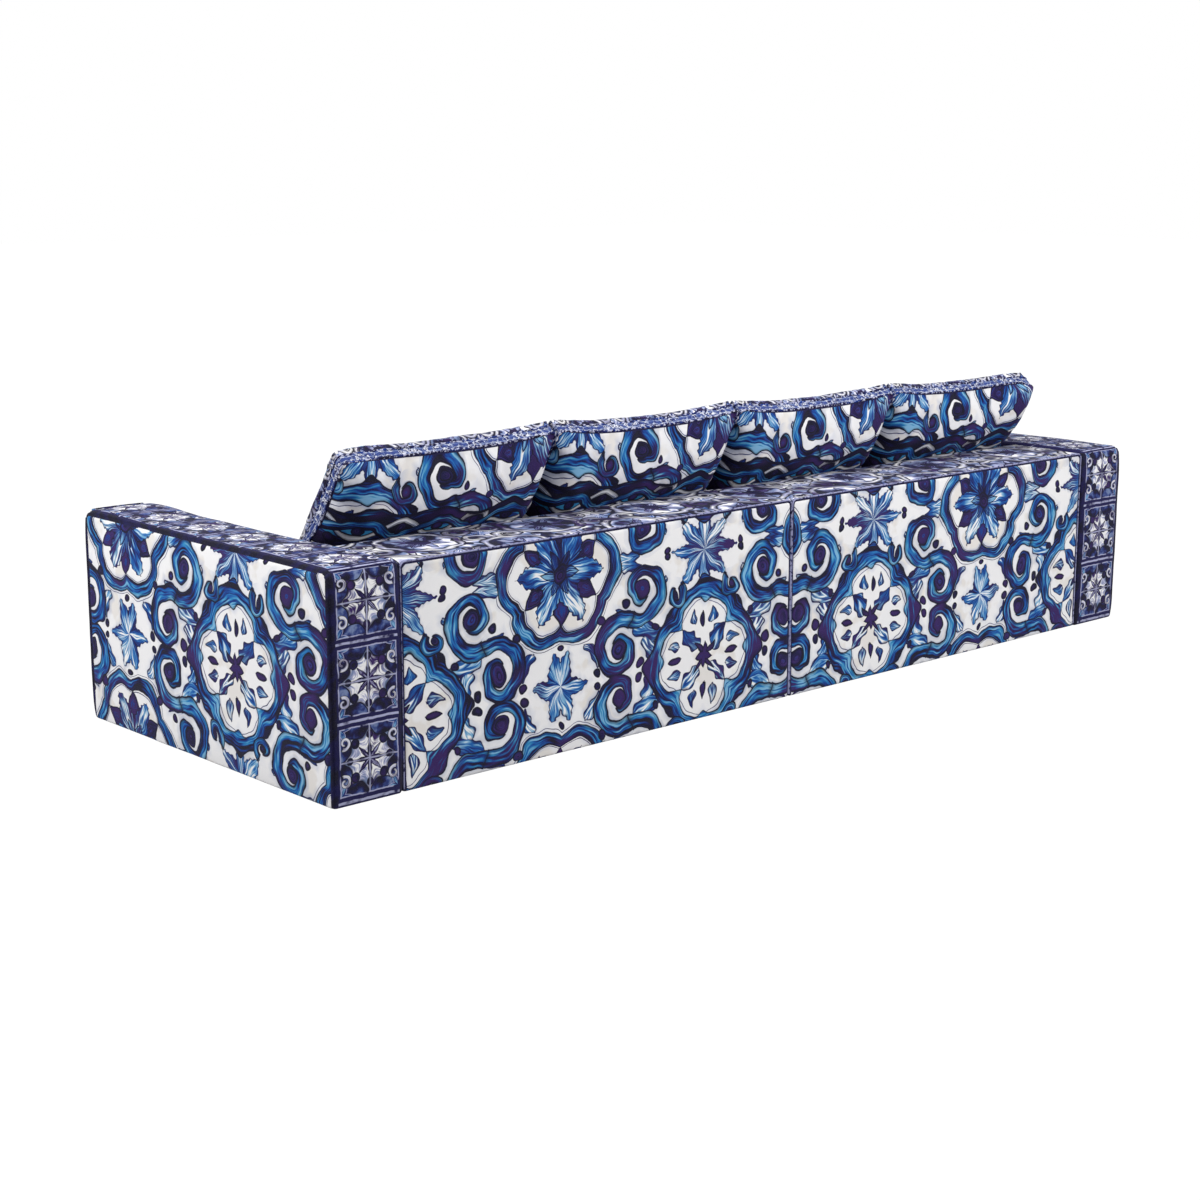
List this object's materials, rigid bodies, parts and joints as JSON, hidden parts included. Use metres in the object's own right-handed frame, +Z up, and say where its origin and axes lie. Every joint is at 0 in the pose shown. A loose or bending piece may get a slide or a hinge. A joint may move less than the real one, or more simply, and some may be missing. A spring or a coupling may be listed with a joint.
{
  "type": "sofa",
  "caption": "Long low box-shaped sofa in two bolted halves, with full-depth arms, a wide flat back ledge, loose seat cushions and loose leaning back cushions.",
  "frame": {"origin": "middle of the footprint, on the floor", "axes": "+X to the right as seen from in front, along the sofa's width; the front faces -Y; +Z up"},
  "size_m": [3.29, 1.18, 0.8563],
  "materials": {
    "cover_print": "matte",
    "cushion_print": "matte",
    "piping": "matte",
    "platform_cloth": "matte",
    "dust_cloth": "matte",
    "webbing": "matte",
    "felt_pad": "matte",
    "foam": "matte",
    "hardwood": "satin",
    "plywood": "satin",
    "zinc_steel": "satin",
    "glide_plastic": "matte"
  },
  "bodies": {
    "frame": {"left_front_rail": "hardwood", "left_rear_rail": "hardwood", "left_side_rails": "hardwood", "left_cross_bearers": "hardwood", "left_webbing_long": "webbing", "left_webbing_cross": "webbing", "left_deck_pad": "felt_pad", "left_deck_cover": "platform_cloth", "left_base_front_cover": "cover_print", "left_dust_cover": "dust_cloth", "left_glides": "glide_plastic", "left_arm_frame": "hardwood", "left_arm_panels": "plywood", "left_arm_foam": "foam", "left_arm_cover": "cover_print", "left_back_frame": "hardwood", "left_back_panels": "plywood", "left_back_foam": "foam", "left_back_cover": "cover_print", "left_back_piping": "piping", "left_frame_bolts": "zinc_steel", "right_front_rail": "hardwood", "right_rear_rail": "hardwood", "right_side_rails": "hardwood", "right_cross_bearers": "hardwood", "right_webbing_long": "webbing", "right_webbing_cross": "webbing", "right_deck_pad": "felt_pad", "right_deck_cover": "platform_cloth", "right_base_front_cover": "cover_print", "right_dust_cover": "dust_cloth", "right_glides": "glide_plastic", "right_arm_frame": "hardwood", "right_arm_panels": "plywood", "right_arm_foam": "foam", "right_arm_cover": "cover_print", "right_back_frame": "hardwood", "right_back_panels": "plywood", "right_back_foam": "foam", "right_back_cover": "cover_print", "right_back_piping": "piping", "right_frame_bolts": "zinc_steel", "connector_bolts": "zinc_steel", "connector_plates": "zinc_steel"},
    "seat_cushion_1_body": {"seat_cushion_1": "cushion_print", "seat_core_1": "foam"},
    "back_cushion_1_body": {"back_cushion_1": "cushion_print", "back_core_1": "foam"},
    "seat_cushion_2_body": {"seat_cushion_2": "cushion_print", "seat_core_2": "foam"},
    "back_cushion_2_body": {"back_cushion_2": "cushion_print", "back_core_2": "foam"},
    "seat_cushion_3_body": {"seat_cushion_3": "cushion_print", "seat_core_3": "foam"},
    "back_cushion_3_body": {"back_cushion_3": "cushion_print", "back_core_3": "foam"},
    "seat_cushion_4_body": {"seat_cushion_4": "cushion_print", "seat_core_4": "foam"},
    "back_cushion_4_body": {"back_cushion_4": "cushion_print", "back_core_4": "foam"}
  },
  "joints": [
    {"name": "seat_cushion_1_out", "type": "slide", "parent": "frame", "child": "seat_cushion_1_body", "axis": [0, -1, 0], "range_m": [0, 0.9]},
    {"name": "back_cushion_1_lift", "type": "slide", "parent": "frame", "child": "back_cushion_1_body", "axis": [0, 0, 1], "range_m": [0, 0.5]},
    {"name": "seat_cushion_2_out", "type": "slide", "parent": "frame", "child": "seat_cushion_2_body", "axis": [0, -1, 0], "range_m": [0, 0.9]},
    {"name": "back_cushion_2_lift", "type": "slide", "parent": "frame", "child": "back_cushion_2_body", "axis": [0, 0, 1], "range_m": [0, 0.5]},
    {"name": "seat_cushion_3_out", "type": "slide", "parent": "frame", "child": "seat_cushion_3_body", "axis": [0, -1, 0], "range_m": [0, 0.9]},
    {"name": "back_cushion_3_lift", "type": "slide", "parent": "frame", "child": "back_cushion_3_body", "axis": [0, 0, 1], "range_m": [0, 0.5]},
    {"name": "seat_cushion_4_out", "type": "slide", "parent": "frame", "child": "seat_cushion_4_body", "axis": [0, -1, 0], "range_m": [0, 0.9]},
    {"name": "back_cushion_4_lift", "type": "slide", "parent": "frame", "child": "back_cushion_4_body", "axis": [0, 0, 1], "range_m": [0, 0.5]}
  ]
}
